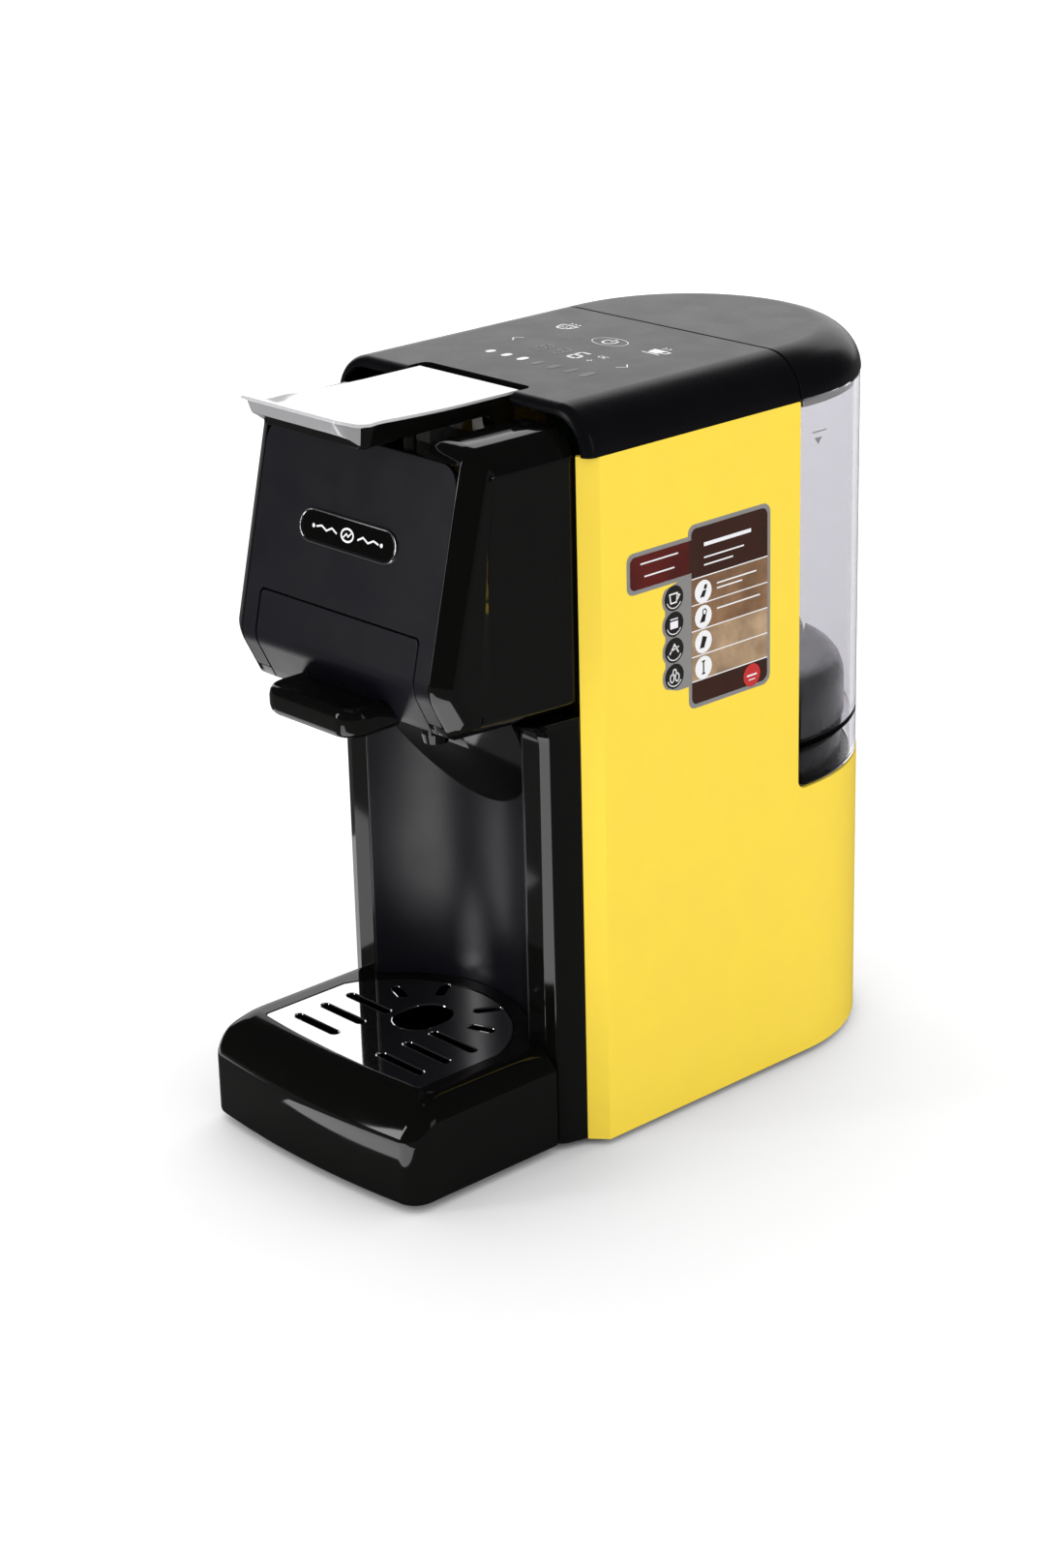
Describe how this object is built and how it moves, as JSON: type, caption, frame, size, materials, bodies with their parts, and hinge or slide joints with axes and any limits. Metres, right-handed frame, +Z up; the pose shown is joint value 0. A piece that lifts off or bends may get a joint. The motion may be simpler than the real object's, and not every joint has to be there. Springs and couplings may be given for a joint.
{
  "type": "pod coffee machine",
  "caption": "Upright capsule coffee machine with a drop-in capsule drawer, flip-up clamp lever, slide-out drip tray and a clear lift-off rear water tank.",
  "frame": {"origin": "centre of the overall box on the surface that the machine stands on", "axes": "+Z up; -Y towards the front, where the lever, drawer and drip tray are; +X to the right seen from the front"},
  "size_m": [0.1443, 0.287, 0.305],
  "materials": {
    "yellow_plastic": "satin gloss",
    "gloss_black": "high gloss",
    "satin_black": "satin",
    "satin_midnight": "satin, faintly blue",
    "chrome_trim": "polished",
    "mirror_steel": "mirror polished",
    "clear_smoke": "clear, slightly grey",
    "dark_smoke": "smooth",
    "label_print": "printed film",
    "black_rubber": "matte",
    "silicone": "matte",
    "white_plastic": "moulded",
    "circuit_green": "solder mask",
    "coil_orange": "varnished",
    "cast_heater": "cast",
    "steel": "turned",
    "blue_plastic": "moulded"
  },
  "bodies": {
    "machine": {"base_plate": "satin_black", "outer_shell": "yellow_plastic", "front_frame": "gloss_black", "column_panel": "satin_midnight", "apron": "gloss_black", "head_housing": "gloss_black", "face_panel": "satin_midnight", "badge_rim": "chrome_trim", "badge_plate": "gloss_black", "top_cover": "satin_black", "display_board": "circuit_green", "side_label": "label_print", "tank_bay": "satin_black", "tank_seat": "satin_black", "dock_seal": "silicone", "rubber_feet": "black_rubber", "base_screws": "steel", "cord_grommet": "black_rubber", "pump_body": "white_plastic", "pump_coil": "coil_orange", "pump_mounts": "black_rubber", "pump_spring": "steel", "heater_block": "cast_heater", "thermostats": "steel", "control_board": "circuit_green", "flow_meter_body": "white_plastic", "flow_meter_lid": "white_plastic", "suction_hose": "silicone", "feed_hose": "silicone", "pressure_hose": "silicone", "brew_hose": "silicone", "brew_frame": "white_plastic"},
    "lever": {"lever_pin": "steel", "lever_pinion": "white_plastic", "lever_body": "gloss_black", "lever_plate": "mirror_steel", "lever_lip": "chrome_trim"},
    "brew_piston": {"piston": "white_plastic", "piston_rack": "white_plastic", "piston_seal": "silicone", "pierce_needle": "steel"},
    "capsule_drawer": {"drawer_front": "satin_midnight", "drawer_handle": "gloss_black", "capsule_holder": "satin_black", "coffee_spout": "gloss_black"},
    "drip_tray": {"tray_body": "gloss_black"},
    "grille": {"drip_grille": "mirror_steel"},
    "water_tank": {"tank_shell": "clear_smoke", "strainer_cover": "dark_smoke", "valve_spring": "steel"},
    "lid": {"tank_lid": "satin_black", "lid_seal": "silicone"},
    "valve": {"valve_poppet": "white_plastic", "valve_seal": "black_rubber"},
    "rotor": {"flow_rotor": "blue_plastic"},
    "plunger": {"pump_plunger": "steel"}
  },
  "joints": [
    {"name": "lever_lift", "type": "hinge", "parent": "machine", "child": "lever", "pos_m": [0, -0.052, 0.291], "axis": [-1, 0, 0], "range_deg": [0, 70]},
    {"name": "piston_slide", "type": "slide", "parent": "machine", "child": "brew_piston", "axis": [0, 0, 1], "range_m": [0, 0.0111]},
    {"name": "drawer_slide", "type": "slide", "parent": "machine", "child": "capsule_drawer", "axis": [0, -1, 0], "range_m": [0, 0.095]},
    {"name": "tray_slide", "type": "slide", "parent": "machine", "child": "drip_tray", "axis": [0, -1, 0], "range_m": [0, 0.11]},
    {"name": "grille_lift", "type": "slide", "parent": "drip_tray", "child": "grille", "axis": [0, 0, 1], "range_m": [0, 0.04]},
    {"name": "tank_lift", "type": "slide", "parent": "machine", "child": "water_tank", "axis": [0, 0, 1], "range_m": [0, 0.15]},
    {"name": "lid_lift", "type": "slide", "parent": "water_tank", "child": "lid", "axis": [0, 0, 1], "range_m": [0, 0.04]},
    {"name": "valve_slide", "type": "slide", "parent": "water_tank", "child": "valve", "axis": [0, 0, -1], "range_m": [0, 0.003], "deforming": ["valve_spring"]},
    {"name": "rotor_spin", "type": "hinge", "parent": "machine", "child": "rotor", "pos_m": [0.032, 0.02, 0.0252], "axis": [0, 0, 1], "continuous": true},
    {"name": "plunger_slide", "type": "slide", "parent": "machine", "child": "plunger", "axis": [0, 0, -1], "range_m": [0, 0.003], "stiffness_N_per_m": 600, "deforming": ["pump_spring"]}
  ],
  "couplings": [
    {"joint": "piston_slide", "follows": "lever_lift", "m_per_rad": 0.009}
  ]
}
